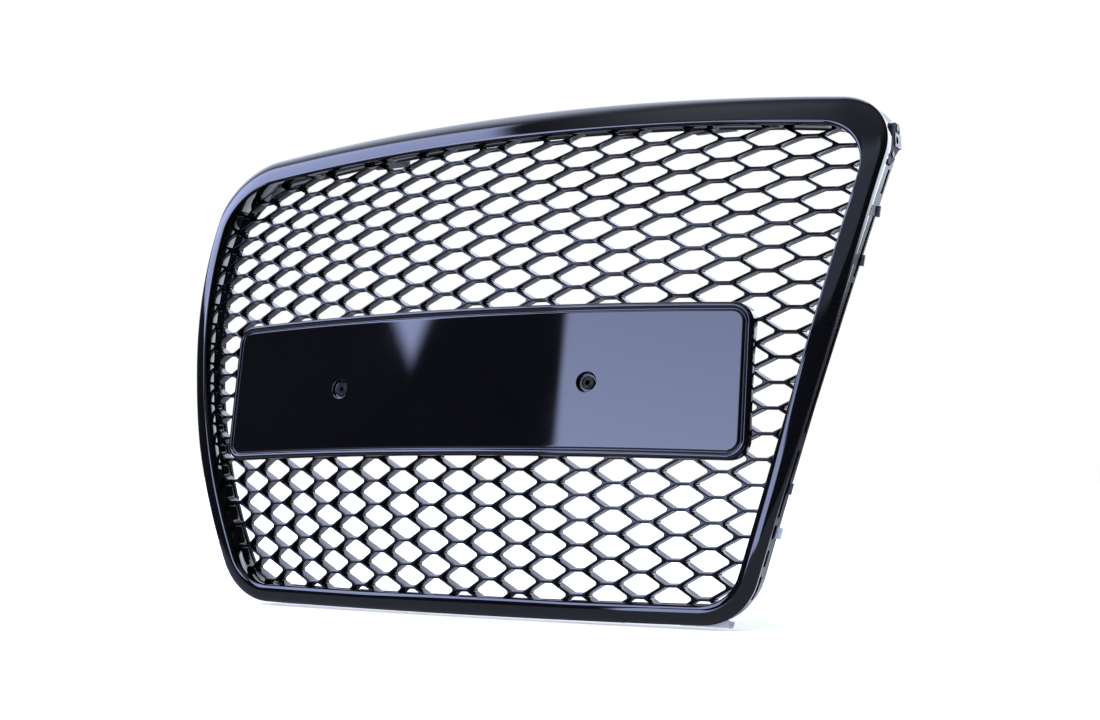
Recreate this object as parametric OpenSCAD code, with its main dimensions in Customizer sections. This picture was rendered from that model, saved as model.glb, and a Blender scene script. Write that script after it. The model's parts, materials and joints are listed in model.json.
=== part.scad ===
// Front grille: a curved surround with a honeycomb insert and a number plate plinth.
// Millimetres. +Z is up, the front faces -Y, and X = 0 is the centre plane.
// The shape is set out from a datum on the centre plane, at the foremost point of the surround
// and a little above mid height. The placed() module then moves everything so that the origin
// lies midway between the two upper mounting holes.

/* [Surround outline] */
// Height of the top edge above the datum, at the centre plane
top_z = 246; // [236:1:256]
// Height of the bottom edge below the datum, at the centre plane
bottom_z = 222; // [214:1:230]
// Half width of the outline at the height of the datum
half_w = 324.5; // [318:0.5:332]
// Lean of the sides at the height of the datum, in degrees
side_lean = 13; // [11:0.5:15]
// Radius of the top edge
top_r = 2600; // [2200:50:3200]
// Radius of the bottom edge
bottom_r = 22000; // [16000:500:30000]
// Radius of the sides
side_r = 1800; // [1500:50:2200]
// Radius of the upper corners
top_corner_r = 54; // [46:1:60]
// Radius of the lower corners
bottom_corner_r = 53; // [46:1:60]

/* [Surround band] */
// Width of the band along the top
band_top = 29; // [26:0.5:32]
// Width of the band along the sides and the bottom
band_side = 16.5; // [15:0.5:18]
// Inner radius of the upper corners
inner_top_r = 45; // [40:1:50]
// Inner radius of the lower corners
inner_bottom_r = 38; // [34:1:42]
// Wall thickness of the surround
skin = 2.6; // [2.2:0.1:3]
// Depth of the outer wall behind the face, at the height of the datum
wall_depth = 9.5; // [8:0.5:11]
// Roll-over depth of the outer edge
edge_depth = 7; // [5:0.5:8]
// Roll-over depth of the inner edge
inner_depth = 5; // [3:0.5:6]

/* [Surfaces] */
// Plan radius of the surround's face
face_plan_r = 3660; // [3300:20:4000]
// Side view radius of the surround's face
face_side_r = 575; // [550:5:600]
// Height of the foremost line of the surround's face, below the datum
face_low = 124; // [110:1:135]
// Plan radius of the honeycomb's front
mesh_plan_r = 1706; // [1640:2:1760]
// Side view radius of the honeycomb's front
mesh_side_r = 488; // [480:1:510]
// Height of the foremost line of the honeycomb, below the datum
mesh_low = 106; // [100:1:112]

/* [Honeycomb] */
// Width of one column of cells
pitch = 32; // [31:0.1:33]
// Half the height of one cell
rise = 10.56; // [10.3:0.02:10.8]
// Width of the bars between cells
bar = 2.4; // [2:0.1:3]
// Depth of the bars
mesh_depth = 12.5; // [10:0.5:12.5]
// Length of a cell's flat side, as a share of two columns
flat_share = 0.205; // [0.18:0.005:0.24]

/* [Plate plinth] */
// Half width of the plinth
plinth_half_w = 265.7; // [258:0.1:268]
// Height of the plinth's top edge above the datum
plinth_top = 45; // [42:0.5:46]
// Height of the plinth's bottom edge below the datum
plinth_bottom = 84; // [80:0.5:86]
// Backward lean of the plinth, in degrees
plinth_lean = 8.5; // [8:0.1:9]
// Plan radius of the plinth's face
plinth_r = 1553; // [1500:1:1600]
// Corner radius of the plinth
plinth_corner = 17; // [14:0.5:20]
// Distance from the centre plane to a plate screw
plate_screw_x = 126.5; // [120:0.5:128]
// Height of the plate screws below the datum
plate_screw_low = 21.1; // [19:0.1:23]

/* [Mounting] */
// Distance between the two upper mounting holes
upper_span = 360; // [340:2:380]
// Radius of the upper mounting holes
upper_hole_r = 3.3; // [3:0.1:3.5]
// Radius of the side mounting holes
side_hole_r = 3.3; // [3:0.1:3.5]

/* [Hidden] */

gap = 0.3;
// Clearance kept to the faceted honeycomb
loose = 2;
gloss_black = "#0b0c0e";
satin_black = "#141518";
grey_plastic = "#5b5e66";
pale_plastic = "#a9adb8";
zinc = "#b7babf";

// ---- surfaces: each is the outside of a torus about an upright axis behind the grille ----
function bowed(x, z, plan_r, side_r, z0) =
    let (rho = plan_r - side_r + sqrt(side_r * side_r - (z - z0) * (z - z0)))
    plan_r - sqrt(rho * rho - x * x);
function face_y(x, z) = bowed(x, z, face_plan_r, face_side_r, -face_low);
function mesh_y(x, z) = bowed(x, z, mesh_plan_r, mesh_side_r, -mesh_low);

module behind_mesh(back)
    translate([0, mesh_plan_r + back, -mesh_low])
        rotate([0, 0, 270 - 16])
            rotate_extrude(angle = 2 * 16, $fn = 720)
                translate([mesh_plan_r - mesh_side_r, 0])
                    circle(r = mesh_side_r, $fn = 240);
// How far behind the face the surround's outer wall, the slots and the carrier's skirt end
function wall_back(z) = min(18, max(5.5, wall_depth + 0.055 * z));
function slot_back(z) = max(10, 19 + 0.075 * z);
function edge_back(z) = slot_back(z) + 5.5;
// The region behind the same surface with flat facets, for the many walls of the honeycomb
facet_x = [for (k = [-3 : 3]) k * 120];
facet_step = 7.2;
facet_z = [for (k = [0 : 9]) -mesh_low + mesh_side_r * sin(-16 + k * facet_step)];
module behind_facets(back) {
    nx = len(facet_x);
    nz = len(facet_z);
    front = [for (z = facet_z) for (x = facet_x) [x, mesh_y(x, z) + back, z]];
    rear = [for (z = facet_z) for (x = facet_x) [x, 300, z]];
    half = nx * nz;
    edge = concat(
        [for (i = [0 : nx - 1]) i], [for (j = [1 : nz - 1]) j * nx + nx - 1],
        [for (i = [nx - 2 : -1 : 0]) (nz - 1) * nx + i], [for (j = [nz - 2 : -1 : 1]) j * nx]
    );
    polyhedron(
        points = concat(front, rear),
        faces = concat(
            [for (j = [0 : nz - 2]) for (i = [0 : nx - 2]) let (a = j * nx + i)
                for (f = [[a, a + nx, a + nx + 1], [a, a + nx + 1, a + 1]]) f],
            [[for (k = edge) half + k]],
            [for (k = [0 : len(edge) - 1]) let (a = edge[k], b = edge[(k + 1) % len(edge)])
                [a, b, half + b, half + a]]
        )
    );
}

// ---- outlines: tangent arcs, right half from the top centre to the bottom centre ----
function meet(a, ra, b, rb, side) =
    let (d = b - a, l = norm(d), u = d / l, t = (l * l + ra * ra - rb * rb) / (2 * l))
    a + u * t + side * sqrt(ra * ra - t * t) * [-u[1], u[0]];
function heading(from, to) = atan2(to[1] - from[1], to[0] - from[0]);
function arc(c, r, a0, a1, n) =
    [for (k = [0 : n - 1]) let (a = a0 + (a1 - a0) * k / n) c + r * [cos(a), sin(a)]];
function mirrored(half) =
    concat(half, [for (k = [len(half) - 2 : -1 : 1]) [-half[k][0], half[k][1]]]);

// Steps along the top, the upper corner, the side, the lower corner and the bottom
fine = [14, 8, 12, 8, 8];
coarse = [6, 3, 4, 3, 3];
function outline(top_in, side_in, bottom_in, upper_r, lower_r, steps) =
    let (
        rt = top_r - top_in,
        rs = side_r - side_in,
        rb = bottom_r - bottom_in,
        ct = [0, top_z - top_r],
        cs = [half_w - side_r * cos(side_lean), side_r * sin(side_lean)],
        cb = [0, bottom_r - bottom_z],
        ku = meet(cs, rs - upper_r, ct, rt - upper_r, 1),
        kl = meet(cs, rs - lower_r, cb, rb - lower_r, -1),
        half = concat(
            arc(ct, rt, 90, heading(ct, ku), steps[0]),
            arc(ku, upper_r, heading(ct, ku), heading(cs, ku), steps[1]),
            arc(cs, rs, heading(cs, ku), heading(cs, kl), steps[2]),
            arc(kl, lower_r, heading(cs, kl), heading(cb, kl), steps[3]),
            arc(cb, rb, heading(cb, kl), -90, steps[4]),
            [[0, bottom_in - bottom_z]]
        )
    )
    mirrored(half);
function outer_line(inset) =
    outline(inset, inset, inset, top_corner_r - inset, bottom_corner_r - inset, fine);
// The outline's half width at height z, along the side
function side_at(z) =
    let (up = side_r * sin(side_lean) - z)
    half_w - side_r * cos(side_lean) + sqrt(side_r * side_r - up * up);
function inner_line(grow, steps = fine) =
    outline(
        band_top - grow, band_side - grow, band_side - grow,
        inner_top_r + grow, inner_bottom_r + grow, steps
    );

rim = outer_line(0);
rim_inner = inner_line(0);
module along_y(y0, y1)
    translate([0, y1, 0])
        rotate([90, 0, 0])
            linear_extrude(y1 - y0)
                children();
module rod(x, z, r, y0, y1, fn = 32)
    translate([x, y1, z])
        rotate([90, 0, 0])
            cylinder(r = r, h = y1 - y0, $fn = fn);

// ---- honeycomb lattice: the rows bow down towards the sides, more so higher up ----
row_datum = 7;
widen = 0.0189;
widen_bend = 0.00041;
side_squeeze = 0.0054;
row_drop = 9.1;
drop_start = 6.3;
drop_height = 12;
lattice_half = 10;
function lattice(i, j) =
    let (h = rise * (j + row_datum), n = h / pitch, s = (i / lattice_half) * (i / lattice_half))
    [
        pitch * i * (1 + widen * n - widen_bend * n * n) * (1 - side_squeeze * s),
        h - row_drop * s * (n + drop_start) / drop_height
    ];
function cell(i, j) =
    let (f = flat_share, t = 1 - flat_share)
    [
        lattice(i + f, j + 1), lattice(i + t, j), lattice(i + f, j - 1),
        lattice(i - f, j - 1), lattice(i - t, j), lattice(i - f, j + 1)
    ];
columns = [-lattice_half - 1 : lattice_half + 1];
rows = [-29 : 17];
// Cells whose centre falls on the rim are left closed
field_inset = 6;
field = inner_line(-field_inset, coarse);
function inside(p, line) =
    max([for (k = [0 : len(line) - 1])
        let (a = line[k], b = line[(k + 1) % len(line)])
        cross(b - a, p - a)]) < 0;
function is_cell(i, j) = abs(i + j) % 2 == 1 && inside(lattice(i, j), field);

// ---- fixing points ----
// The insert is screwed to the carrier from behind; each point is [x, z] inside the band
insert_screw_inset = 9.6;
insert_stations = [5, 17, 32, 43];
pin_stations = [12, 38];
function at_both(line, stations) = [for (k = stations) for (q = [line[k], line[len(line) - k]]) q];
insert_points = at_both(outer_line(insert_screw_inset), insert_stations);
pin_points = at_both(outer_line(insert_screw_inset), pin_stations);
function screw_tip(q) = max(mesh_y(q[0], q[1]) - 6, face_y(q[0], q[1]) + 3.6);
// Where each ear meets the insert's rim
rim_points = at_both(inner_line(3), concat(insert_stations, pin_stations));
pad_r = 3.4;
screw_r = 1.4;
screw_hole_r = 1.5;
screw_head_r = 3;
screw_head_h = 2;
seat_back = 19;

plinth_points = [for (x = [-236, -84, 84, 236]) for (z = [26, -64]) [x, z]];
plinth_boss_r = 4;
plinth_seat = 13.6;

// ---- main pieces ----
// One cross-section of the surround, from the outer edge o to the inner edge q
function section(o, q) =
    let (
        w = norm(q - o),
        u = (q - o) / w,
        h = mesh_y(q[0], q[1]) - gap - face_y(q[0], q[1]),
        b = min(inner_depth, h - 0.8),
        wall = wall_back(o[1]),
        roll = min(edge_depth, wall - 2),
        at = function (d, y) let (p = o + u * d) [p[0], face_y(p[0], p[1]) + y, p[1]],
        foot = function (d) let (p = o + u * d) [p[0], mesh_y(p[0], p[1]) - gap, p[1]]
    )
    [
        at(0, wall), at(0, roll), at(0.6, 0.64 * roll), at(2, 0.34 * roll),
        at(4.5, 0.11 * roll), at(8, 0), at(w - 6, 0), at(w - 3.2, 0.16 * b),
        at(w - 1.1, 0.5 * b), at(w, b), foot(w), foot(w - skin),
        at(w - skin, b + 0.4), at(w - skin - 1.8, skin + 0.4 * b), at(w - 6.5, skin),
        at(8, skin), at(skin + 1.6, skin + 1.6), at(skin, roll + 0.5), at(skin, wall)
    ];
// Sweeps one closed section round the outline
module swept(sections) {
    n = len(sections);
    m = len(sections[0]);
    polyhedron(
        points = [for (s = sections) for (p = s) p],
        faces = [for (k = [0 : n - 1]) for (i = [0 : m - 1])
            let (a = k * m + i, b = ((k + 1) % n) * m + i, i2 = (i + 1) % m - i)
            for (f = [[a, b, b + i2], [a, b + i2, a + i2]]) f]
    );
}
module surround_boss(q)
    rod(q[0], q[1], pad_r, face_y(q[0], q[1]) + skin / 2, mesh_y(q[0], q[1]) - gap);
module surround_frame()
    color(gloss_black)
        difference() {
            union() {
                swept([for (k = [0 : len(rim) - 1]) section(rim[k], rim_inner[k])]);
                for (q = insert_points) surround_boss(q);
            }
            for (q = insert_points) rod(q[0], q[1], screw_hole_r, screw_tip(q), 220);
        }

// The carrier: a skirt that carries on from the surround's outer wall, a step inwards, a wall
// and a ledge that the insert lies on
skirt_gap = 0.6;
skirt_in = 0.5;
skirt_t = 2.2;
step_t = 2.4;
wall_in = 4.1;
wall_t = 2;
ledge_back = mesh_depth + loose;
ledge_t = 3;
function carrier_section(o, q) =
    let (
        w = norm(q - o),
        u = (q - o) / w,
        on_face = function (d, y) let (p = o + u * d) [p[0], face_y(p[0], p[1]) + y, p[1]],
        on_mesh = function (d, y) let (p = o + u * d) [p[0], mesh_y(p[0], p[1]) + y, p[1]],
        limit = on_mesh(wall_in, ledge_back + 1.5)[1] - face_y(o[0], o[1]),
        back = min(edge_back(o[1]), limit),
        front = wall_back(o[1]) + skirt_gap,
        wall_out = wall_in + wall_t
    )
    [
        on_face(skirt_in, back), on_face(skirt_in, front), on_face(skirt_in + skirt_t, front),
        on_face(skirt_in + skirt_t, back - step_t), on_face(wall_out, back - step_t),
        on_mesh(wall_out, ledge_back), on_mesh(w - 1, ledge_back), on_mesh(w - 1, ledge_back + ledge_t),
        on_mesh(wall_in, ledge_back + ledge_t), on_face(wall_in, back)
    ];
module insert_boss(q)
    rod(q[0], q[1], pad_r + 1.2, mesh_y(q[0], q[1]) + 6, mesh_y(q[0], q[1]) + seat_back);
// Long slots in the skirt along each side, from one height to another
slot_spans = [
    [-199, -180], [-172, -159], [-150, -139], [-133, -80], [-66, 56], [61, 114], [134, 156]
];
slot_half = 2.5;
slot_step = 14;
module slot(span) {
    n = ceil((span[1] - span[0]) / slot_step);
    heights = [for (k = [0 : n]) span[0] + (span[1] - span[0]) * k / n];
    middle = [for (z = heights) face_y(side_at(z), z) + slot_back(z)];
    for (s = [0, 1])
        mirror([s, 0, 0])
            translate([side_at(span[0]) - skirt_in - skirt_t - 2, 0, 0])
                rotate([90, 0, 90])
                    linear_extrude(60)
                        polygon(concat(
                            [for (k = [0 : n]) [middle[k] - slot_half, heights[k]]],
                            [for (k = [n : -1 : 0]) [middle[k] + slot_half, heights[k]]]
                        ));
}
module carrier_frame()
    color(satin_black)
        difference() {
            union() {
                swept([for (k = [0 : len(rim) - 1]) carrier_section(rim[k], rim_inner[k])]);
                intersection() {
                    union() {
                        for (q = insert_points) insert_boss(q);
                        for (s = [-1, 1]) upper_seat(s);
                    }
                    behind_mesh(ledge_back + 1);
                }
                for (s = [-1, 1]) side_seat(s);
            }
            for (q = insert_points) rod(q[0], q[1], screw_hole_r, 0, 220);
            for (q = pin_points) rod(q[0], q[1], pin_r + 0.05, 0, 220);
            for (s = [-1, 1]) upper_screw_holes(s);
            for (s = [-1, 1]) side_window(s);
            for (span = slot_spans) slot(span);
        }

// A closed panel stands in for the cells behind the plinth, where no air passes
panel_half_w = 246;
panel_top = 30;
panel_bottom = 69;
panel_t = 3;
module panel(grow)
    translate([-panel_half_w - grow, -panel_bottom - grow])
        square([2 * (panel_half_w + grow), panel_top + panel_bottom + 2 * grow]);
module ear(q, rim_q)
    hull() {
        translate(q) circle(r = pad_r, $fn = 8);
        translate(rim_q) circle(r = pad_r, $fn = 6);
    }
// How far outside the clear opening the insert and its cells end
lattice_edge = 5.5;
cell_edge = 1.4;
module lattice_outline()
    difference() {
        union() {
            difference() {
                polygon(inner_line(lattice_edge, coarse));
                intersection() {
                    polygon(inner_line(cell_edge, coarse));
                    for (i = columns) for (j = rows)
                        if (is_cell(i, j)) offset(delta = -bar / 2) polygon(cell(i, j));
                }
            }
            for (k = [0 : len(rim_points) - 1]) ear(concat(insert_points, pin_points)[k], rim_points[k]);
            panel(2);
        }
        for (q = insert_points) translate(q) circle(r = screw_hole_r, $fn = 8);
        for (q = pin_points) translate(q) circle(r = pin_r + 0.2, $fn = 8);
        for (q = plinth_points) translate(q) circle(r = screw_hole_r + 0.2, $fn = 8);
        for (s = [-1, 1]) translate([s * plate_screw_x, -plate_screw_low]) circle(r = nut_clear_r, $fn = 8);
    }
module honeycomb_insert()
    color(gloss_black)
        difference() {
            intersection() {
                along_y(-10, 200) lattice_outline();
                behind_facets(0);
            }
            behind_facets(mesh_depth);
            difference() {
                along_y(-10, 200) panel(0);
                behind_facets(mesh_depth - panel_t);
            }
        }

// ---- plate plinth, set out in its own leaning frame ----
module leaning() rotate([-plinth_lean, 0, 0]) children();
plinth_arch = 1.5;
function rounded(hw, top, low, r, n = 8) =
    let (
        right = hw - r,
        up = top - r,
        down = low + r,
        corners = [[right, up, 0], [-right, up, 90], [-right, down, 180], [right, down, 270]]
    )
    [for (c = corners) for (k = [0 : n]) let (a = c[2] + 90 * k / n) [c[0], c[1]] + r * [cos(a), sin(a)]];
function arched(pts) = [for (p = pts) [p[0], p[1] + plinth_arch * (1 - pow(p[0] / plinth_half_w, 2))]];
plinth_steps = 12;
long_edge = 100;
// The long edges get extra points, so that the arch shows
function filled(pts) =
    [for (k = [0 : len(pts) - 1])
        let (a = pts[k], b = pts[(k + 1) % len(pts)], n = norm(b - a) > long_edge ? plinth_steps : 1)
        for (t = [0 : n - 1]) a + (b - a) * t / n];
function plinth_line(inset) =
    arched(filled(rounded(
        plinth_half_w - inset, plinth_top / cos(plinth_lean) - inset,
        inset - plinth_bottom / cos(plinth_lean), max(plinth_corner - inset, 4)
    )));
module plinth_front(back)
    translate([0, plinth_r + back, -200])
        cylinder(r = plinth_r, h = 400, $fn = 900);
plinth_skin = 2.8;
recess_r = 8.5;
recess_deep = 5;
nut_hole_r = 4;
nut_clear_r = 8;
nut_z = -plate_screw_low / cos(plinth_lean);
recess_front = plate_screw_x * plate_screw_x / (2 * plinth_r);
rim_w = 8;
rim_step = 1;
nut_flange_r = 6;
nut_rear_end = 17;
plate_screw_r = 2.1;
// A rod on a plate screw's axis, with its ends measured from the plinth's face
module nut_rod(s, r, front, back)
    rod(s * plate_screw_x, nut_z, r, recess_front + front, recess_front + back, 48);

function plinth_y(q) = q[0] * q[0] / (2 * plinth_r) + q[1] * tan(plinth_lean);
module plinth_shell()
    difference() {
        intersection() {
            along_y(-30, 60) polygon(plinth_line(0));
            plinth_front(0);
        }
        intersection() {
            along_y(-30, 70) polygon(plinth_line(plinth_skin));
            plinth_front(plinth_skin + rim_step);
        }
        difference() {
            along_y(-30, 60) polygon(plinth_line(rim_w));
            plinth_front(rim_step);
        }
    }
module plate_plinth()
    color(gloss_black)
        difference() {
            union() {
                difference() {
                    leaning() plinth_shell();
                    behind_mesh(-gap);
                }
                leaning()
                    for (s = [-1, 1])
                        nut_rod(s, recess_r + 2.4, 2.4, recess_deep + 2.6);
                difference() {
                    for (q = plinth_points) rod(q[0], q[1], plinth_boss_r, plinth_y(q) + 2.5, 90);
                    behind_mesh(mesh_depth - panel_t - loose);
                }
            }
            for (q = plinth_points) rod(q[0], q[1], screw_hole_r, plinth_y(q) + 5, 90);
            leaning()
                for (s = [-1, 1]) {
                    nut_rod(s, recess_r, -20, recess_deep);
                    nut_rod(s, nut_hole_r, -20, 60);
                }
        }
module plate_nut(s)
    color(satin_black)
        leaning()
            difference() {
                union() {
                    nut_rod(s, nut_flange_r, recess_deep - 1.6, recess_deep);
                    nut_rod(s, nut_hole_r - 0.05, recess_deep - 1, nut_rear_end);
                }
                nut_rod(s, plate_screw_r, -20, 60);
            }
module plate_nut_left() plate_nut(-1);
module plate_nut_right() plate_nut(1);

// ---- fasteners ----
module screw(q, tip, seat) {
    rod(q[0], q[1], screw_r, tip, seat + 0.5);
    difference() {
        rod(q[0], q[1], screw_head_r, seat, seat + screw_head_h);
        rod(q[0], q[1], 1.3, seat + 0.8, seat + 5, 6);
    }
}
module insert_screws()
    color(zinc)
        for (q = insert_points)
            screw(q, screw_tip(q) + 0.3, mesh_y(q[0], q[1]) + seat_back);
module plinth_screws()
    color(zinc)
        for (q = plinth_points)
            screw(q, plinth_y(q) + 7, mesh_y(q[0], q[1]) + plinth_seat);
pin_r = 2;
module locating_pins()
    color(pale_plastic)
        for (q = pin_points)
            rod(q[0], q[1], pin_r - 0.05, mesh_y(q[0], q[1]) + 4, mesh_y(q[0], q[1]) + seat_back);

// ---- clips on the carrier's rear edge; x is outwards from the skirt and y is backwards ----
module on_edge(z)
    for (s = [0, 1])
        mirror([s, 0, 0])
            translate([side_at(z) - skirt_in, face_y(side_at(z), z) + edge_back(z), z])
                rotate([0, side_lean_at(z), 0])
                    children();
function side_lean_at(z) = asin((side_r * sin(side_lean) - z) / side_r);
clip_h = 9;
clip_z = [-110, 76, 119];
clip_shape = [[-5, 0.1], [2.2, 0.1], [2.2, 1.8], [1.2, 4.5], [-0.8, 4.5], [-1.6, 2.2], [-5, 2.2]];
module retaining_clips()
    color(grey_plastic)
        for (z = clip_z)
            on_edge(z)
                linear_extrude(clip_h, center = true)
                    polygon(clip_shape);

// ---- upper brackets: an upright leg on the carrier's seat and a level leg with the hole ----
upper_x = upper_span / 2;
bracket_w = 40;
bracket_t = 3;
upper_seat_top = top_z - 18;
upper_seat_low = upper_seat_top - 15;
upper_seat_y = mesh_y(upper_x, upper_seat_top) + mesh_depth + 9;
bracket_reach = 26;
upper_hole_y = upper_seat_y + 15;
module upper_seat(s)
    translate([s * upper_x - bracket_w / 2, upper_seat_y - 40, upper_seat_low])
        cube([bracket_w, 40, upper_seat_top - upper_seat_low]);
module upper_screw_holes(s)
    for (x = [-1, 1])
        rod(s * upper_x + 13 * x, upper_seat_low + 7, screw_hole_r, upper_seat_y - 12, upper_seat_y + 5);
sleeve_r = 5;
module upper_bracket(s)
    color(grey_plastic)
        difference() {
            union() {
                translate([s * upper_x - bracket_w / 2, upper_seat_y, upper_seat_low])
                    cube([bracket_w, bracket_t, upper_seat_top - upper_seat_low + 4]);
                translate([s * upper_x - bracket_w / 2, upper_seat_y, upper_seat_top + 1])
                    cube([bracket_w, bracket_reach, bracket_t]);
                for (x = [-1, 1])
                    translate([s * upper_x + x * (bracket_w / 2 - 1.25), upper_seat_y, upper_seat_top + 1])
                        rotate([0, 90, 0])
                            linear_extrude(2.5, center = true)
                                polygon([[0, 0], [10, 0], [0, bracket_reach - 4]]);
            }
            translate([s * upper_x, upper_hole_y, upper_seat_top - 5])
                cylinder(r = sleeve_r, h = 20, $fn = 48);
            upper_screw_holes(s);
        }
module upper_bracket_left() upper_bracket(-1);
module upper_bracket_right() upper_bracket(1);
module upper_sleeve(s)
    color(zinc)
        translate([s * upper_x, upper_hole_y, upper_seat_top + 1 - 0.2])
            difference() {
                cylinder(r = sleeve_r - 0.05, h = bracket_t + 0.4, $fn = 48);
                translate([0, 0, -1]) cylinder(r = upper_hole_r, h = 10, $fn = 48);
            }
module upper_sleeve_left() upper_sleeve(-1);
module upper_sleeve_right() upper_sleeve(1);
module upper_bracket_screws()
    color(zinc)
        for (s = [-1, 1]) for (x = [-1, 1])
            screw([s * upper_x + 13 * x, upper_seat_low + 7], upper_seat_y - 10, upper_seat_y + bracket_t);

// ---- side brackets: an upright tab behind each upper corner ----
// The tab's inner face, and its hole; the other places are [y, z]
side_x = 351.4;
side_hole = [138.8, 184];
side_screw_at = [[141.8, 195], [127, 170]];
side_tab_foot = [160, 170, 180, 190, 199];
side_tab_rear = [[146, 199], [149, 197.5], [150.3, 194], [150.3, 179], [131, 167], [120, 160]];
side_tab = concat(
    [for (z = side_tab_foot) [face_y(side_x, z) + wall_back(z) + 1.6, z]],
    side_tab_rear
);
nut_h = 12;
module along_x(s, x0, x1)
    mirror([s < 0 ? 1 : 0, 0, 0])
        translate([x0, 0, 0])
            rotate([90, 0, 90])
                linear_extrude(x1 - x0)
                    children();
module side_rod(s, q, r, x0, x1, fn = 24)
    mirror([s < 0 ? 1 : 0, 0, 0])
        translate([x0, q[0], q[1]])
            rotate([0, 90, 0])
                cylinder(r = r, h = x1 - x0, $fn = fn);
module side_seat(s)
    along_x(s, side_x - 7.4, side_x)
        polygon([[118, 163], [131, 163], [147, 178], [147, 198], [131, 198], [118, 176]]);
// The tab's place is cut out of the skirt, with a window for the spring nut
module side_window(s) {
    along_x(s, side_x - 0.02, side_x + 10) offset(delta = 1.2) polygon(side_tab);
    along_x(s, side_x - 12, side_x + 1)
        translate([side_hole[0] - 8, side_hole[1] - nut_h / 2 - 0.6])
            square([23, nut_h + 1.2]);
    for (q = side_screw_at) side_rod(s, q, screw_hole_r, side_x - 9, side_x + 1);
}
module side_bracket(s)
    color(grey_plastic)
        difference() {
            along_x(s, side_x, side_x + bracket_t) polygon(side_tab);
            side_rod(s, side_hole, side_hole_r, side_x - 1, side_x + 5, 48);
            for (q = side_screw_at) side_rod(s, q, screw_hole_r, side_x - 1, side_x + 5);
        }
module side_bracket_left() side_bracket(-1);
module side_bracket_right() side_bracket(1);
module side_bracket_screws()
    color(zinc)
        for (s = [-1, 1]) for (q = side_screw_at) {
            side_rod(s, q, screw_r, side_x - 7, side_x + bracket_t + 0.2);
            side_rod(s, q, screw_head_r - 0.4, side_x + bracket_t - 0.2, side_x + bracket_t + 0.8, 32);
        }
// A sheet spring nut folded over the rear edge of each side bracket
nut_sheet = 0.8;
nut_thread_r = 2.6;
nut_collar_r = 4.2;
nut_collar = 3.1;
nut_inner = side_x - nut_sheet;
nut_outer = side_x + bracket_t + 0.05 + nut_sheet;
nut_rear = 150.5;
module spring_nut(s)
    color(zinc)
        difference() {
            union() {
                along_x(s, nut_inner - 0.05, nut_inner + nut_sheet - 0.05) nut_leaf();
                along_x(s, nut_outer - nut_sheet, nut_outer) nut_leaf();
                along_x(s, nut_inner - 0.05, nut_outer)
                    translate([nut_rear, side_hole[1] - nut_h / 2])
                        square([nut_sheet, nut_h]);
                side_rod(s, side_hole, nut_collar_r, nut_inner - nut_collar, nut_inner);
            }
            side_rod(s, side_hole, nut_thread_r, side_x - 10, side_x + 1, 32);
            side_rod(s, side_hole, side_hole_r, side_x, side_x + 10, 32);
        }
module nut_leaf()
    translate([side_hole[0] - 5.5, side_hole[1] - nut_h / 2])
        square([nut_rear + nut_sheet - side_hole[0] + 5.5, nut_h]);
module spring_nut_left() spring_nut(-1);
module spring_nut_right() spring_nut(1);

// ---- side clips: a square tongue low on each side ----
side_clip_z = -145;
side_clip_shape = [[-5.6, 0.1], [4.4, 0.1], [4.4, 1.6], [3.4, 3], [-5.6, 3]];
module side_clip(s)
    color(pale_plastic)
        intersection() {
            on_edge(side_clip_z)
                linear_extrude(clip_h, center = true)
                    polygon(side_clip_shape);
            along_x(s, 1, 400) square([200, 600], center = true);
        }
module side_clip_left() side_clip(-1);
module side_clip_right() side_clip(1);

// ---- lower clips: snap tongues along the bottom edge, each [x, width] ----
lower_clips_at = [[-203, 22], [-130, 9], [-81, 5], [-54.5, 9], [127, 40], [219, 44]];
tongue_shape = [[0, 5], [0, -0.4], [5, -1.8], [10, -1.8], [13.5, 0.4], [13.5, 3], [4, 3], [4, 5]];
module lower_clips()
    color(pale_plastic)
        for (c = lower_clips_at)
            translate([c[0] - c[1] / 2, face_y(c[0], -bottom_z) + edge_back(-bottom_z) + 0.1, -bottom_z])
                rotate([90, 0, 90])
                    linear_extrude(c[1])
                        polygon(tongue_shape);

module placed() translate([0, -upper_hole_y, -upper_seat_top - bracket_t - 1]) children();

placed() surround_frame();
placed() carrier_frame();
placed() honeycomb_insert();
placed() plate_plinth();
placed() plate_nut_left();
placed() plate_nut_right();
placed() plinth_screws();
placed() insert_screws();
placed() retaining_clips();
placed() locating_pins();
placed() upper_bracket_left();
placed() upper_bracket_right();
placed() upper_sleeve_left();
placed() upper_sleeve_right();
placed() upper_bracket_screws();
placed() side_bracket_left();
placed() side_bracket_right();
placed() spring_nut_left();
placed() spring_nut_right();
placed() side_bracket_screws();
placed() side_clip_left();
placed() side_clip_right();
placed() lower_clips();
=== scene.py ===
import json
import math

import bpy
import numpy as np
from mathutils import Matrix, Vector
from mathutils.geometry import delaunay_2d_cdt

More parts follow.
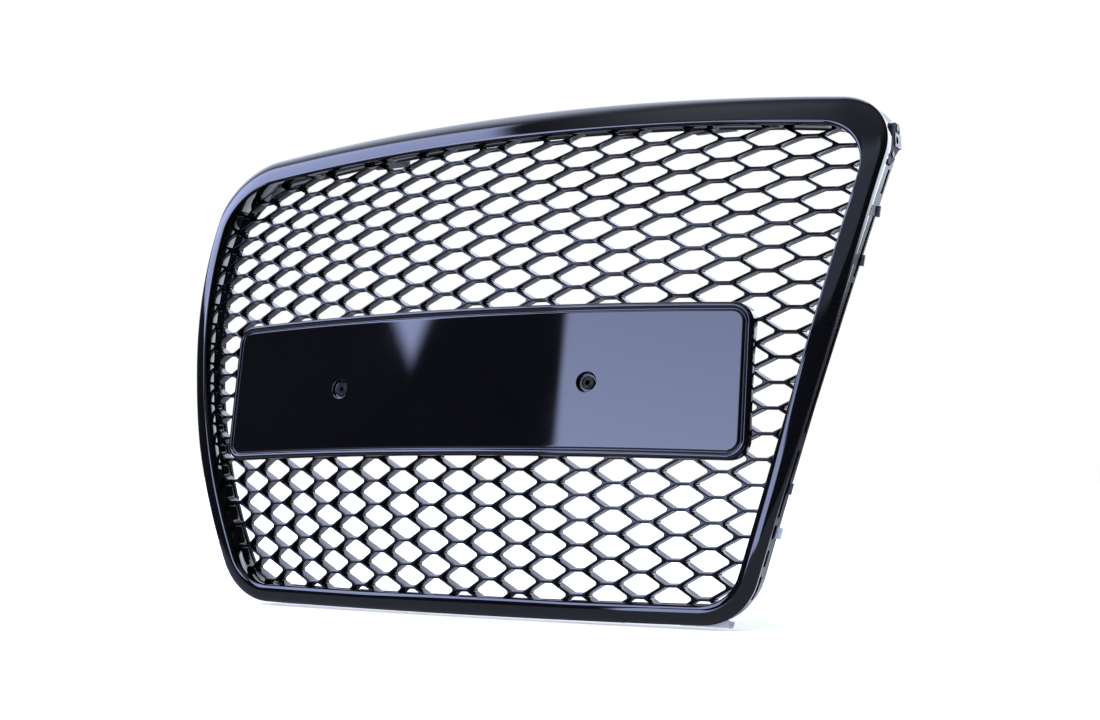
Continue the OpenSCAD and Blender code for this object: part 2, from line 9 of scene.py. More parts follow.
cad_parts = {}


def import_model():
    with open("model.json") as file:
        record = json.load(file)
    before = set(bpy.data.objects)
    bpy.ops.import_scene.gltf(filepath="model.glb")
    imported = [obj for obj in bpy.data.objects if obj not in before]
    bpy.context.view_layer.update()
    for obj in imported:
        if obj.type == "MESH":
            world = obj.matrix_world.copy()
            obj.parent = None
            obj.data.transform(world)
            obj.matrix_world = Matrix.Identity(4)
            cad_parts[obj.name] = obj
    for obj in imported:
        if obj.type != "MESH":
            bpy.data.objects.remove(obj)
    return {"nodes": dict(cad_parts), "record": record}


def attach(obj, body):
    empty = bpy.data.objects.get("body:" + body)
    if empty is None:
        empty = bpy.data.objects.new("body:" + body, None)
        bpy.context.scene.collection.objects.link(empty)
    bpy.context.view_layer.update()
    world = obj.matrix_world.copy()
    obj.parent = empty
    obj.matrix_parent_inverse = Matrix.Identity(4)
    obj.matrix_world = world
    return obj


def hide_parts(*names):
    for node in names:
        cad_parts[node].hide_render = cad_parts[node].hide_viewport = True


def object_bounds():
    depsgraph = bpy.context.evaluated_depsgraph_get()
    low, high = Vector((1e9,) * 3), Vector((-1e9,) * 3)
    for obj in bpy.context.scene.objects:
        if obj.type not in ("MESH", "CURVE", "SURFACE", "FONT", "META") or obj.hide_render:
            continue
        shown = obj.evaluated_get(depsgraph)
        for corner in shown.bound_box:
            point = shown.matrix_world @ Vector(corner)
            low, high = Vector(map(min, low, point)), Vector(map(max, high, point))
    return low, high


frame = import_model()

CAD_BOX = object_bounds()
MM = 0.001

# ---------------------------------------------------------------- shape, in millimetres
# Lengths are measured from the datum: the centre plane, the surround's foremost point, and the
# height that the outline's sizes are given from. +Z is up and the front faces -Y, as in the frame.
TOP_Z, BOTTOM_Z = 246.0, 222.0
HALF_W, SIDE_LEAN = 324.42, math.radians(13.0)
TOP_R, BOTTOM_R, SIDE_R = 2600.0, 22000.0, 1800.0
TOP_CORNER_R, BOTTOM_CORNER_R = 54.0, 53.0
BAND_TOP, BAND_SIDE = 29.0, 16.5
INNER_TOP_R, INNER_BOTTOM_R = 45.0, 38.0
SKIN, WALL_DEPTH, WALL_SLOPE = 2.6, 9.5, 0.055
FACE = (3660.0, 575.0, -124.0)
MESH = (1706.0, 488.0, -106.0)
PITCH, RISE, FLAT_SHARE = 32.0, 10.56, 0.205
ROW_DATUM, LATTICE_HALF = 7, 10
MESH_DEPTH = 12.5

# The frame's origin is midway between the upper mounting holes, whose place from the datum is:
UPPER_HOLES = Vector((0, 179.035, 232.0))
DATUM = -UPPER_HOLES * MM


def bowed(x, z, surface):
    plan_r, side_r, z0 = surface
    rho = plan_r - side_r + np.sqrt(side_r ** 2 - (z - z0) ** 2)
    return plan_r - np.sqrt(rho ** 2 - x ** 2)


def unit(angle):
    return np.array([math.cos(angle), math.sin(angle)])


def heading(a, b):
    return math.atan2(b[1] - a[1], b[0] - a[0])


def meet(a, ra, b, rb, side):
    d = b - a
    length = np.hypot(*d)
    u = d / length
    t = (length ** 2 + ra ** 2 - rb ** 2) / (2 * length)
    return a + u * t + side * math.sqrt(ra ** 2 - t ** 2) * np.array([-u[1], u[0]])


def arc(centre, r, a0, a1, n):
    return [centre + r * unit(a0 + (a1 - a0) * k / n) for k in range(n)]


def outline(top_in, side_in, bottom_in, upper_r, lower_r, steps):
    """Tangent arcs, clockwise from the top centre, mirrored about the centre plane."""
    rt, rs, rb = TOP_R - top_in, SIDE_R - side_in, BOTTOM_R - bottom_in
    ct = np.array([0, TOP_Z - TOP_R])
    cs = np.array([HALF_W - SIDE_R * math.cos(SIDE_LEAN), SIDE_R * math.sin(SIDE_LEAN)])
    cb = np.array([0, BOTTOM_R - BOTTOM_Z])
    ku = meet(cs, rs - upper_r, ct, rt - upper_r, 1)
    kl = meet(cs, rs - lower_r, cb, rb - lower_r, -1)
    half = (
        arc(ct, rt, math.pi / 2, heading(ct, ku), steps[0])
        + arc(ku, upper_r, heading(ct, ku), heading(cs, ku), steps[1])
        + arc(cs, rs, heading(cs, ku), heading(cs, kl), steps[2])
        + arc(kl, lower_r, heading(cs, kl), heading(cb, kl), steps[3])
        + arc(cb, rb, heading(cb, kl), -math.pi / 2, steps[4])
        + [np.array([0, bottom_in - BOTTOM_Z])]
    )
    left = [p * (-1, 1) for p in half[-2:0:-1]]
    return np.array(half + left)


STEPS = (64, 28, 44, 28, 44)


def outer_line(inset, steps=STEPS):
    return outline(inset, inset, inset, TOP_CORNER_R - inset, BOTTOM_CORNER_R - inset, steps)


def inner_line(grow, steps=STEPS):
    return outline(
        BAND_TOP - grow, BAND_SIDE - grow, BAND_SIDE - grow,
        INNER_TOP_R + grow, INNER_BOTTOM_R + grow, steps,
    )


# ---------------------------------------------------------------- mesh helpers
def build(name, points, faces, material, sharp=40):
    """A smooth-shaded mesh from points in millimetres about the datum."""
    mesh = bpy.data.meshes.new(name)
    mesh.from_pydata([Vector(p) * MM + DATUM for p in points], [], faces)
    mesh.validate()
    mesh.materials.append(material)
    mesh.polygons.foreach_set("use_smooth", [True] * len(mesh.polygons))
    mesh.set_sharp_from_angle(angle=math.radians(sharp))
    mesh.update()
    piece = bpy.data.objects.new(name, mesh)
    bpy.context.scene.collection.objects.link(piece)
    return piece


def band_faces(a, b, n):
    """Quads between two closed loops of n points, the first starting at a and the other at b."""
    return [(a + k, a + (k + 1) % n, b + (k + 1) % n, b + k) for k in range(n)]


def ring_faces(rows, n, closed=False):
    """Quads between rows of n points, each row a closed loop."""
    faces = []
    for r in range(rows if closed else rows - 1):
        faces += band_faces(r * n, ((r + 1) % rows) * n, n)
    return faces


# ---------------------------------------------------------------- materials
def material(name):
    m = bpy.data.materials.new(name)
    m.use_nodes = True
    nodes = m.node_tree.nodes
    return m, nodes, m.node_tree.links, nodes["Principled BSDF"]


def noise(nodes, links, scale, detail=4.0, rough=0.5):
    coords = nodes.new("ShaderNodeTexCoord")
    tex = nodes.new("ShaderNodeTexNoise")
    tex.inputs["Scale"].default_value = scale
    tex.inputs["Detail"].default_value = detail
    tex.inputs["Roughness"].default_value = rough
    links.new(coords.outputs["Object"], tex.inputs["Vector"])
    return tex.outputs["Fac"]


def ranged(nodes, links, fac, low, high):
    node = nodes.new("ShaderNodeMapRange")
    node.inputs["From Min"].default_value = 0.3
    node.inputs["From Max"].default_value = 0.7
    node.inputs["To Min"].default_value = low
    node.inputs["To Max"].default_value = high
    links.new(fac, node.inputs["Value"])
    return node.outputs["Result"]


def tinted(nodes, links, fac, dark, light):
    ramp = nodes.new("ShaderNodeValToRGB")
    ramp.color_ramp.elements[0].position = 0.3
    ramp.color_ramp.elements[0].color = (*dark, 1)
    ramp.color_ramp.elements[1].position = 0.7
    ramp.color_ramp.elements[1].color = (*light, 1)
    links.new(fac, ramp.inputs["Fac"])
    return ramp.outputs["Color"]


def bumped(nodes, links, shader, fac, strength, distance):
    bump = nodes.new("ShaderNodeBump")
    bump.inputs["Strength"].default_value = strength
    bump.inputs["Distance"].default_value = distance
    links.new(fac, bump.inputs["Height"])
    links.new(bump.outputs["Normal"], shader.inputs["Normal"])


def plastic(name, dark, light, rough_low, rough_high, grain, bump, bump_depth, specular=0.5):
    """A moulded plastic: broad tints and roughness, and a fine grain of the given scale."""
    m, nodes, links, shader = material(name)
    fine = noise(nodes, links, grain)
    broad = noise(nodes, links, 9.0, 6.0, 0.6)
    links.new(tinted(nodes, links, broad, dark, light), shader.inputs["Base Color"])
    links.new(ranged(nodes, links, broad, rough_low, rough_high), shader.inputs["Roughness"])
    shader.inputs["Specular IOR Level"].default_value = specular
    bumped(nodes, links, shader, fine, bump, bump_depth)
    return m


BLACK = ((0.0012, 0.0013, 0.0016), (0.002, 0.0022, 0.0026))
GLOSS = plastic("gloss_black", *BLACK, 0.03, 0.055, 900.0, 0.02, 0.00002)
MOULDED = plastic("moulded_black", *BLACK, 0.05, 0.09, 900.0, 0.04, 0.00002, 0.25)
SATIN = plastic(
    "satin_black", (0.005, 0.0052, 0.006), (0.009, 0.0095, 0.011), 0.26, 0.4, 2500.0, 0.25, 0.00005,
)
GREY = plastic(
    "grey_plastic", (0.10, 0.105, 0.12), (0.14, 0.145, 0.165), 0.3, 0.45, 2000.0, 0.2, 0.00005,
)
DARK = plastic(
    "dark_grey_plastic", (0.024, 0.027, 0.033), (0.04, 0.044, 0.054),
    0.5, 0.65, 2000.0, 0.2, 0.00005, 0.2,
)
PALE = plastic(
    "pale_plastic", (0.6, 0.61, 0.64), (0.74, 0.75, 0.78), 0.3, 0.45, 2000.0, 0.2, 0.00005,
)


def plated(name, dark, light):
    m, nodes, links, shader = material(name)
    broad = noise(nodes, links, 300.0, 6.0, 0.6)
    links.new(tinted(nodes, links, broad, dark, light), shader.inputs["Base Color"])
    links.new(ranged(nodes, links, broad, 0.22, 0.4), shader.inputs["Roughness"])
    shader.inputs["Metallic"].default_value = 1.0
    bumped(nodes, links, shader, noise(nodes, links, 4000.0), 0.2, 0.00003)
    return m


ZINC = plated("zinc_plated", (0.42, 0.43, 0.44), (0.6, 0.61, 0.62))
OXIDE = plated("dark_plated", (0.012, 0.010, 0.009), (0.035, 0.028, 0.022))
BY_SLOT = {
    "gloss_black": GLOSS, "satin_black": SATIN, "grey_plastic": GREY,
    "pale_plastic": PALE, "zinc_plated": ZINC,
}
BY_NODE = {
    "plate_nut_left": OXIDE, "plate_nut_right": OXIDE,
    "side_bracket_left": DARK, "side_bracket_right": DARK,
    "spring_nut_left": OXIDE, "spring_nut_right": OXIDE, "side_bracket_screws": OXIDE,
}


def dress_cad_nodes():
    slots = {s["node"]: s["material_slot"] for s in frame["record"]["subparts"]}
    for name, piece in frame["nodes"].items():
        piece.data.materials.clear()
        piece.data.materials.append(BY_NODE.get(name, BY_SLOT[slots[name]]))


# ---------------------------------------------------------------- the surround
EDGE_RUN, EDGE_RUN_TOP, EDGE_DEPTH, EDGE_LAND = 8.0, 17.0, 7.0, 2.0
INNER_RUN, INNER_RUN_HIGH, INNER_RUN_TOP, INNER_DEPTH = 6.5, 3.0, 4.0, 5.0
EDGE_STEPS, INNER_STEPS = 12, 10
FOOT_GAP = 0.3
LEAST_WALL, MOST_WALL = 5.5, 18.0
BREAK = 0.4
CROWN, LEAN, LEAN_FROM, LEAN_TO = 0.0037, math.radians(3.5), -110.0, -10.0


def crowned(s, z, side):
    """How far the face falls back at s from its inner edge; the upright bands only."""
    lean = LEAN * np.clip((z - LEAN_FROM) / (LEAN_TO - LEAN_FROM), 0, 1)
    return side * (np.tan(lean) * s + CROWN * s * s)


def quarter(run, depth, steps):
    """Points of a quarter ellipse, from (0, depth) up to (run, 0)."""
    angles = [math.pi / 2 * k / steps for k in range(steps + 1)]
    return [(run * (1 - math.cos(a)), depth * (1 - math.sin(a))) for a in angles]


def surround():
    outer, inner = outer_line(0), inner_line(0)
    width = np.hypot(*(inner - outer).T)
    inward = (inner - outer) / width[:, None]
    along = np.roll(outer, -1, axis=0) - np.roll(outer, 1, axis=0)
    side = (along[:, 1] / np.hypot(*along.T)) ** 2
    foot = bowed(*inner.T, MESH) - FOOT_GAP - bowed(*inner.T, FACE)
    inner_roll = np.minimum(INNER_DEPTH, foot - 0.8)
    tight = side * np.clip((outer[:, 1] - LEAN_FROM) / -LEAN_FROM, 0, 1)
    top = np.where(outer[:, 1] > 0, 1 - side, 0)
    inner_run = INNER_RUN + (INNER_RUN_HIGH - INNER_RUN) * tight + (INNER_RUN_TOP - INNER_RUN) * top
    edge_run = EDGE_RUN + (EDGE_RUN_TOP - EDGE_RUN) * top
    back = np.clip(WALL_DEPTH + WALL_SLOPE * outer[:, 1], LEAST_WALL, MOST_WALL)
    edge = np.minimum(EDGE_DEPTH, back - EDGE_LAND)
    n = len(outer)
    rows = []

    def row(distance, depth, surface=FACE, fall=0.0):
        """One loop at a distance in from the outline; fall is the share of the crown it takes."""
        p = outer + inward * np.broadcast_to(distance, n)[:, None]
        fallen = fall * crowned(np.maximum(width - distance, 0), outer[:, 1], side)
        rows.append(np.column_stack([p[:, 0], bowed(*p.T, surface) + depth + fallen, p[:, 1]]))

    row(SKIN, back - BREAK / 2)
    row(SKIN - BREAK, back)
    row(BREAK, back)
    row(0, back - BREAK)
    for share in (0.66, 0.33):
        row(0, edge + (back - edge) * share)
    for d, y in quarter(1.0, 1.0, EDGE_STEPS):
        row(d * edge_run, y * edge, fall=1 - y)
    for share in (0.25, 0.5, 0.75):
        row(edge_run + (width - inner_run - edge_run) * share, 0, fall=1)
    for d, y in reversed(quarter(1.0, 1.0, INNER_STEPS)):
        row(width - d * inner_run, y * inner_roll, fall=1)
    row(width, -FOOT_GAP - 0.3, MESH)
    row(width - 0.3, -FOOT_GAP, MESH)
    row(width - SKIN, -FOOT_GAP, MESH)
    row(width - SKIN, inner_roll + 0.4)
    row(width - SKIN - 1.8, SKIN + 0.4 * inner_roll)
    row(width - INNER_RUN, SKIN, fall=1)
    row(edge_run, SKIN, fall=1)
    row(SKIN + 1.6, np.minimum(SKIN + 1.6, edge + 0.4))
    row(SKIN, edge + 0.5)
    faces = ring_faces(len(rows), n, closed=True)
    piece = build("surround_shell", np.vstack(rows), faces, GLOSS)
    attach(piece, "root")
    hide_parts("surround_frame")


# ---------------------------------------------------------------- the honeycomb
BAR = 2.45
FILLET = 2.0
TIP_STEPS_PER_RAD = 3.2
RIM_OUT, RIM_IN = 5.5, 1.5
# (outward offset from the front opening, depth behind the front surface)
CREST = [(1.05, 0.0), (0.8, 0.08), (0.52, 0.28), (0.26, 0.62), (0.08, 1.05), (0.0, 1.6)]
WALL = [(-0.12, 4.5), (-0.3, 11.7), (-0.2, 12.2), (0.1, 12.5)]
# The closed panel behind the plinth: half width, reach down and reach up; and how far over its
# border a cell's centre may lie before the cell is left out
PANEL = (246.0, 69.0, 30.0)
PANEL_OVER_X, PANEL_OVER_Z = 8, 3
PANEL_GRID = 11
# The columns spread with height, and the outermost cells are a little narrower
SPREAD, SPREAD_LOSS, END_LOSS = 0.0189, 0.00041, 0.0054
# The rows bow down at the sides, by BOW at BOW_ROWS - BOW_LEVEL pitches above the datum
BOW, BOW_LEVEL, BOW_ROWS = 9.1, 6.3, 12
LOWEST_ROW, HIGHEST_ROW = -29, 17
SHORTEST_SIDE, LONG_SIDE, SMALLEST_CELL = 0.6, 9, 8


def lattice(i, j):
    h = RISE * (j + ROW_DATUM)
    n = h / PITCH
    s = (i / LATTICE_HALF) ** 2
    x = PITCH * i * (1 + SPREAD * n - SPREAD_LOSS * n * n) * (1 - END_LOSS * s)
    return np.array([x, h - BOW * s * (n + BOW_LEVEL) / BOW_ROWS])


def cell(i, j):
    f, t = FLAT_SHARE, 1 - FLAT_SHARE
    around = [(f, 1), (t, 0), (f, -1), (-f, -1), (-t, 0), (-f, 1)]
    return [lattice(i + di, j + dj) for di, dj in around]


def cross(a, b):
    return a[0] * b[1] - a[1] * b[0]


def cut(polygon, a, b):
    """The part of a clockwise polygon on the right of the line from a to b."""
    side = [cross(b - a, p - a) for p in polygon]
    kept = []
    for k, p in enumerate(polygon):
        q, sp, sq = polygon[(k + 1) % len(polygon)], side[k], side[(k + 1) % len(polygon)]
        if sp <= 0:
            kept.append(p)
        if sp * sq < 0:
            kept.append(p + (q - p) * sp / (sp - sq))
    return kept


def inset_sides(polygon, inset):
    for k, a in enumerate(polygon):
        b = polygon[(k + 1) % len(polygon)]
        u = (b - a) / np.hypot(*(b - a))
        inward = np.array([u[1], -u[0]]) * inset
        yield a + inward, b + inward


def opening(hexagon, rim):
    """The clear opening of one cell: its hexagon less the bars, cut off by the rim."""
    polygon = list(hexagon)
    for a, b in inset_sides(hexagon, BAR / 2):
        polygon = cut(polygon, a, b)
    for k, a in enumerate(rim):
        if len(polygon) < 3:
            return []
        polygon = cut(polygon, a, rim[(k + 1) % len(rim)])
    clean = [p for k, p in enumerate(polygon) if np.hypot(*(p - polygon[k - 1])) > SHORTEST_SIDE]
    return clean if len(clean) >= 3 else []


def area(polygon):
    return abs(sum(cross(p, polygon[(k + 1) % len(polygon)]) for k, p in enumerate(polygon))) / 2


def filleted(polygon):
    """Fillet centres, outward directions and radii along a convex clockwise polygon."""
    n = len(polygon)
    sides = [polygon[(k + 1) % n] - polygon[k] for k in range(n)]
    lengths = [np.hypot(*s) for s in sides]
    normals = [np.array([-s[1], s[0]]) / l for s, l in zip(sides, lengths)]
    centres, outs, radii = [], [], []
    for k in range(n):
        before, after = normals[k - 1], normals[k]
        turn = math.acos(max(-1.0, min(1.0, float(before @ after))))
        half_tan = math.tan(turn / 2)
        r = min(FILLET, 0.42 * min(lengths[k - 1], lengths[k]) / max(half_tan, 1e-3))
        centre = polygon[k] - (before + after) / (1 + before @ after) * r
        steps = max(1, round(turn * TIP_STEPS_PER_RAD))
        start = math.atan2(before[1], before[0])
        for s in range(steps + 1):
            centres.append(centre)
            outs.append(unit(start - turn * s / steps))
            radii.append(r)
        if lengths[k] > LONG_SIDE:
            middle = (polygon[k] + polygon[(k + 1) % n]) / 2
            centres.append(middle)
            outs.append(after)
            radii.append(0)
    return np.array(centres), np.array(outs), np.array(radii)


def in_panel(centre):
    half, low, high = PANEL
    inside = abs(centre[0]) < half - PANEL_OVER_X
    return inside and -low + PANEL_OVER_Z < centre[1] < high - PANEL_OVER_Z


def honeycomb():
    rim = inner_line(RIM_IN, (24, 10, 16, 10, 10))
    border = inner_line(RIM_OUT, (48, 14, 32, 14, 24))
    holes = []
    for i in range(-LATTICE_HALF - 1, LATTICE_HALF + 2):
        for j in range(LOWEST_ROW, HIGHEST_ROW + 1):
            if (i + j) % 2 == 0 or in_panel(lattice(i, j)):
                continue
            polygon = opening(cell(i, j), rim)
            if polygon and area(polygon) > SMALLEST_CELL:
                holes.append(filleted(polygon))
    flat = [border]
    owner = [np.full(len(border), -1)]
    for k, (centres, outs, radii) in enumerate(holes):
        flat.append(centres + outs * (radii + CREST[0][0])[:, None])
        owner.append(np.full(len(centres), k))
    half, low, high = PANEL
    grid = [
        (x, z) for x in np.arange(-half + 14, half - 8, PANEL_GRID)
        for z in np.arange(-low + 10, high - 6, PANEL_GRID)
    ]
    flat.append(np.array(grid))
    owner.append(np.full(len(grid), -2))
    flat, owner = np.vstack(flat), np.concatenate(owner)
    edges, start = [], 0
    for count in [len(border)] + [len(h[0]) for h in holes]:
        edges += [(start + k, start + (k + 1) % count) for k in range(count)]
        start += count
    plan = delaunay_2d_cdt([Vector(p) for p in flat], edges, [], 0, 1e-5)
    source = [ids[0] for ids in plan[3]]
    triangles = []
    for face in plan[2]:
        ids = [source[v] for v in face]
        owners = {owner[i] for i in ids}
        if len(owners) > 1 or owners & {-1, -2}:
            triangles.append(ids)

    points, faces = [], []

    def level(xz, depth):
        start = sum(len(p) for p in points)
        points.append(np.column_stack([xz[:, 0], bowed(*xz.T, MESH) + depth, xz[:, 1]]))
        return start

    level(flat, CREST[0][1])
    rear = flat.copy()
    at = len(border)
    for centres, outs, radii in holes:
        rear[at:at + len(centres)] = centres + outs * (radii + WALL[-1][0])[:, None]
        at += len(centres)
    back = level(rear, MESH_DEPTH)
    faces += [tuple(t) for t in triangles]
    faces += [tuple(back + v for v in reversed(t)) for t in triangles]
    at = len(border)
    for centres, outs, radii in holes:
        n = len(centres)
        previous = at
        for offset, depth in CREST[1:] + WALL[:-1]:
            here = level(centres + outs * (radii + offset)[:, None], depth)
            faces += band_faces(previous, here, n)
            previous = here
        here = back + at
        faces += band_faces(previous, here, n)
        at += n
    n = len(border)
    faces += [(k, back + k, back + (k + 1) % n, (k + 1) % n) for k in range(n)]
    piece = build("honeycomb_moulding", np.vstack(points), faces, MOULDED, sharp=60)
    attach(piece, "root")
    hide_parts("honeycomb_insert")


# ---------------------------------------------------------------- the plinth
PLINTH_HALF_W, PLINTH_LEAN, PLINTH_R = 265.7, math.radians(8.5), 1553.0
PLINTH_TOP = 45.0 / math.cos(PLINTH_LEAN)
PLINTH_LOW = -84.0 / math.cos(PLINTH_LEAN)
PLINTH_CORNER, PLINTH_TIGHTEST, PLINTH_ARCH = 17.0, 7.0, 1.5
SCREW_X, SCREW_Z = 126.5, -21.1 / math.cos(PLINTH_LEAN)
CORNER_STEPS, EDGE_X_STEPS, EDGE_Z_STEPS = 12, 60, 14
FACE_GRID_X, FACE_GRID_Z = np.arange(-246, 247, 8.2), np.arange(-68, 33, 8)
RECESS_CLEAR = 12
# (inset from the outline, depth behind the face's crown), from the wall to the flat face
RIM = [
    (0.0, 6.0), (0.05, 3.2), (0.25, 2.1), (0.7, 1.2), (1.4, 0.5), (2.2, 0.1), (2.9, 0.0),
    (3.6, 0.12), (4.3, 0.5), (4.9, 1.1), (5.4, 1.7), (6.0, 2.0), (6.6, 1.85), (7.1, 1.4), (7.5, 1.1),
    (7.9, 1.01), (8.4, 1.0), (9.4, 1.0),
]
# (radius, depth behind the face's crown), from the flat face down to the recess's floor
RECESS = [
    (9.3, 1.0), (8.9, 1.06), (8.6, 1.3), (8.5, 1.8), (8.4, 4.2), (8.2, 4.45), (7.6, 4.5),
    (7.3, 4.6), (7.1, 5.0), (4.0, 5.0),
]


def plinth_outline(inset):
    hw, top, low = PLINTH_HALF_W - inset, PLINTH_TOP - inset, PLINTH_LOW + inset
    r = max(PLINTH_CORNER - inset, PLINTH_TIGHTEST)
    points = []
    quads = [
        ((hw - r, top - r), 90, EDGE_Z_STEPS), ((hw - r, low + r), 0, EDGE_X_STEPS),
        ((r - hw, low + r), -90, EDGE_Z_STEPS), ((r - hw, top - r), -180, EDGE_X_STEPS),
    ]
    for k, (centre, a0, edge) in enumerate(quads):
        angles = [math.radians(a0 - 90 * s / CORNER_STEPS) for s in range(CORNER_STEPS + 1)]
        turn = [centre + r * unit(a) for a in angles]
        points += turn
        nxt = quads[(k + 1) % 4]
        end = nxt[0] + r * unit(math.radians(nxt[1]))
        points += [turn[-1] + (end - turn[-1]) * s / edge for s in range(1, edge)]
    points = np.array(points)
    points[:, 1] += PLINTH_ARCH * (1 - (points[:, 0] / PLINTH_HALF_W) ** 2)
    return points


def leaning(xz, depth):
    """Points of the plinth's own leaning frame, as datum points."""
    y = PLINTH_R - np.sqrt(PLINTH_R ** 2 - xz[:, 0] ** 2) + depth
    c, s = math.cos(PLINTH_LEAN), math.sin(PLINTH_LEAN)
    return np.column_stack([xz[:, 0], y * c + xz[:, 1] * s, xz[:, 1] * c - y * s])


def circle(x, z, r, n=64):
    angles = -np.arange(n) * 2 * math.pi / n
    return np.column_stack([x + r * np.cos(angles), z + r * np.sin(angles)])


def plinth():
    rows = [leaning(plinth_outline(inset), depth) for inset, depth in RIM]
    n = len(rows[0])
    first = rows[0]
    foot = first.copy()
    foot[:, 1] = bowed(first[:, 0], first[:, 2], MESH) - 0.1
    rows.insert(0, foot)
    points = list(rows)
    faces = [tuple(reversed(f)) for f in ring_faces(len(rows), n)]
    border = plinth_outline(RIM[-1][0])
    recesses = [circle(s * SCREW_X, SCREW_Z, RECESS[0][0]) for s in (-1, 1)]
    inner_grid = [
        (x, z) for x in FACE_GRID_X for z in FACE_GRID_Z
        if all(math.hypot(x - s * SCREW_X, z - SCREW_Z) > RECESS_CLEAR for s in (-1, 1))
    ]
    flat = np.vstack([border] + recesses + [np.array(inner_grid)])
    sizes = [len(border)] + [len(r) for r in recesses]
    owner = np.concatenate([np.full(c, k) for k, c in enumerate(sizes)] + [np.full(len(inner_grid), -1)])
    edges, start = [], 0
    for count in sizes:
        edges += [(start + k, start + (k + 1) % count) for k in range(count)]
        start += count
    plan = delaunay_2d_cdt([Vector(p) for p in flat], edges, [], 0, 1e-5)
    source = [ids[0] for ids in plan[3]]
    base = len(rows) * n - len(border)
    extra = flat[len(border):]
    points.append(leaning(extra, RIM[-1][1]))
    low = PLINTH_LOW + RIM[-1][0] + PLINTH_ARCH
    for face in plan[2]:
        ids = [source[v] for v in face]
        owners = {int(owner[i]) for i in ids}
        x, z = flat[ids].mean(axis=0)
        below_arch = owners == {0} and z < low - PLINTH_ARCH * (x / PLINTH_HALF_W) ** 2
        if owners == {1} or owners == {2} or below_arch:
            continue
        faces.append(tuple(base + i for i in ids))
    total = len(rows) * n + len(extra)
    for k, s in enumerate((-1, 1)):
        previous = base + sizes[0] + sum(sizes[1:1 + k])
        for r, depth in RECESS[1:]:
            ring = circle(s * SCREW_X, SCREW_Z, r)
            points.append(leaning(ring, depth))
            faces += band_faces(previous, total, len(ring))
            previous = total
            total += len(ring)
    piece = build("plate_plinth_shell", np.vstack(points), faces, GLOSS, sharp=50)
    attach(piece, "root")
    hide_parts("plate_plinth")


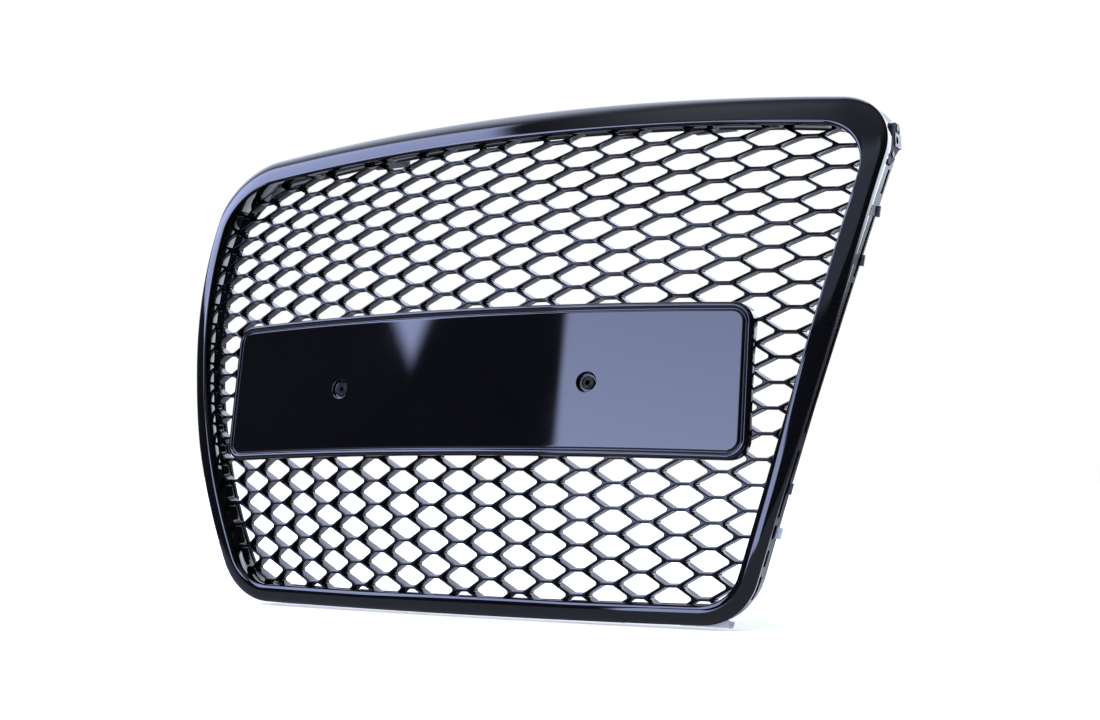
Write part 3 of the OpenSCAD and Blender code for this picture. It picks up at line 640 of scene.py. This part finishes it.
# ---------------------------------------------------------------- stage
def world():
    """Soft studio panels round the part, each a patch of sky with blurred borders.

    Directions are given in degrees: az from the front (-Y) towards +X, and el above the horizon.
    """
    w = bpy.data.worlds.new("studio")
    w.use_nodes = True
    bpy.context.scene.world = w
    nodes, links = w.node_tree.nodes, w.node_tree.links
    nodes.clear()

    def put(socket, value):
        if isinstance(value, bpy.types.NodeSocket):
            links.new(value, socket)
        else:
            socket.default_value = value

    def maths(operation, *values):
        node = nodes.new("ShaderNodeMath")
        node.operation = operation
        for k, value in enumerate(values):
            put(node.inputs[k], value)
        return node.outputs[0]

    def rising(value, at, blur):
        """0 below at, 1 above it."""
        node = nodes.new("ShaderNodeMapRange")
        node.interpolation_type = "SMOOTHSTEP"
        put(node.inputs["Value"], value)
        node.inputs["From Min"].default_value = at - blur / 2
        node.inputs["From Max"].default_value = at + blur / 2
        return node.outputs["Result"]

    def falling(value, at, blur):
        return maths("SUBTRACT", 1.0, rising(value, at, blur))

    def product(*masks):
        result = masks[0]
        for mask in masks[1:]:
            result = maths("MULTIPLY", result, mask)
        return result

    def leaning_line(a, slope_a, b, slope_b):
        return maths("ADD", maths("MULTIPLY", a, slope_a), maths("MULTIPLY", b, slope_b))

    coords = nodes.new("ShaderNodeTexCoord")
    split = nodes.new("ShaderNodeSeparateXYZ")
    links.new(coords.outputs["Generated"], split.inputs["Vector"])
    x, y, z = split.outputs
    turn = 180 / math.pi
    az = maths("MULTIPLY", maths("ARCTAN2", x, maths("MULTIPLY", y, -1.0)), turn)
    el = maths("MULTIPLY", maths("ARCSINE", z), turn)

    # In front and a little to the left: the bright right-hand part of the plinth's face
    key = product(
        rising(az, -21.7, 1.0), falling(az, -2.0, 2.0), rising(el, -12.0, 2.0), falling(el, 25.0, 3.0),
        maths("MINIMUM", 1.15, maths("SUBTRACT", 1.65, maths("MULTIPLY", el, 0.035))),
    )
    # The tall panel at the left: the bright left band, and the wedge in the plinth's face
    left_foot = maths("MINIMUM", maths("SUBTRACT", -2.4, maths("MULTIPLY", az, 0.5)), 23.6)
    left = product(
        rising(maths("SUBTRACT", el, left_foot), 0.0, 1.5),
        falling(leaning_line(az, 1.0, el, -0.8), -52.9, 2.0),
        rising(az, -103.0, 6.0), falling(el, 60.0, 2.0),
        maths("SUBTRACT", 1.0, maths("MULTIPLY", falling(az, -72.0, 20.0), 0.45)),
    )
    # Overhead, brighter to the left: the top band's front roll
    ceiling = rising(el, 70.0, 20.0)
    ceiling_left = maths("ADD", 0.22, maths("MULTIPLY", falling(x, -0.30, 0.35), 1.3))
    # High in front, between the key and the ceiling: the dim upper slopes
    navy = product(rising(az, -20.0, 6.0), falling(az, 60.0, 20.0),
                   rising(el, 33.0, 6.0), falling(el, 75.0, 8.0))
    # Behind the part, at both sides: the bars' inner walls, apart from a gap just below the horizon
    upward = maths("ADD", 0.4, maths("MULTIPLY", rising(el, 20.0, 30.0), 0.8))
    upright = maths("SUBTRACT", 1.0, maths("MULTIPLY", falling(el, 6.0, 16.0), 0.3))
    gap = maths("MAXIMUM", falling(el, -14.0, 6.0), rising(el, 2.0, 6.0))
    back_left = product(
        falling(az, -112.0, 30.0), rising(el, -45.0, 10.0), falling(el, 60.0, 14.0), upward, gap,
    )
    back_right = product(
        rising(az, 155.0, 6.0), rising(el, -45.0, 10.0), falling(el, 45.0, 10.0), upright, gap,
    )
    # The pale ground in front, which the lower slopes see
    ground = product(falling(el, -12.0, 3.0), rising(az, -120.0, 20.0), falling(az, 120.0, 20.0))
    panels = [
        (key, (4.7, 5.4, 8.8)),
        (left, (5.2, 6.0, 10.0)),
        (product(ceiling, ceiling_left), (0.95, 1.0, 1.25)),
        (navy, (0.5, 0.6, 0.8)),
        (back_left, (1.45, 1.55, 1.95)),
        (back_right, (3.4, 3.7, 4.3)),
        (ground, (0.40, 0.43, 0.55)),
    ]
    total = None
    for mask, colour in panels:
        scaled = nodes.new("ShaderNodeVectorMath")
        scaled.operation = "SCALE"
        scaled.inputs[0].default_value = colour
        put(scaled.inputs["Scale"], mask)
        if total is None:
            total = nodes.new("ShaderNodeVectorMath")
            total.operation = "ADD"
            total.inputs[0].default_value = (0.05, 0.05, 0.06)
            links.new(scaled.outputs[0], total.inputs[1])
        else:
            added = nodes.new("ShaderNodeVectorMath")
            added.operation = "ADD"
            links.new(total.outputs[0], added.inputs[0])
            links.new(scaled.outputs[0], added.inputs[1])
            total = added
    room = nodes.new("ShaderNodeBackground")
    links.new(total.outputs[0], room.inputs["Color"])
    show = nodes.new("ShaderNodeBackground")
    show.inputs["Color"].default_value = (1, 1, 1, 1)
    path = nodes.new("ShaderNodeLightPath")
    mix = nodes.new("ShaderNodeMixShader")
    out = nodes.new("ShaderNodeOutputWorld")
    links.new(path.outputs["Is Camera Ray"], mix.inputs["Fac"])
    links.new(room.outputs["Background"], mix.inputs[1])
    links.new(show.outputs["Background"], mix.inputs[2])
    links.new(mix.outputs["Shader"], out.inputs["Surface"])


def floor():
    mesh = bpy.data.meshes.new("floor")
    z = CAD_BOX[0][2] - 0.0005
    mesh.from_pydata([(-6, -6, z), (6, -6, z), (6, 6, z), (-6, 6, z)], [], [(0, 1, 2, 3)])
    m, nodes, links, shader = material("floor")
    shader.inputs["Base Color"].default_value = (0.9, 0.9, 0.92, 1)
    shader.inputs["Roughness"].default_value = 0.6
    shader.inputs["Emission Color"].default_value = (1, 1, 1, 1)
    shader.inputs["Emission Strength"].default_value = 0.45
    mesh.materials.append(m)
    piece = bpy.data.objects.new("floor", mesh)
    bpy.context.scene.collection.objects.link(piece)
    piece.visible_glossy = False


CAMERA_AZIMUTH, CAMERA_RISE, CAMERA_ROLL = math.radians(28.47), math.radians(3.52), math.radians(0.09)
CAMERA_PLACE = Vector((708.6, -1133.7, -82.1))


def camera():
    data = bpy.data.cameras.new("camera")
    data.lens, data.sensor_width = 50, 36
    piece = bpy.data.objects.new("camera", data)
    bpy.context.scene.collection.objects.link(piece)
    piece.location = CAMERA_PLACE * MM + DATUM
    turn = Matrix.Rotation(CAMERA_AZIMUTH, 4, "Z") @ Matrix.Rotation(math.pi / 2 + CAMERA_RISE, 4, "X")
    piece.rotation_euler = (turn @ Matrix.Rotation(-CAMERA_ROLL, 4, "Z")).to_euler()
    bpy.context.scene.camera = piece


dress_cad_nodes()
surround()
honeycomb()
plinth()
world()
floor()
camera()
bpy.context.scene.view_settings.view_transform = "Standard"
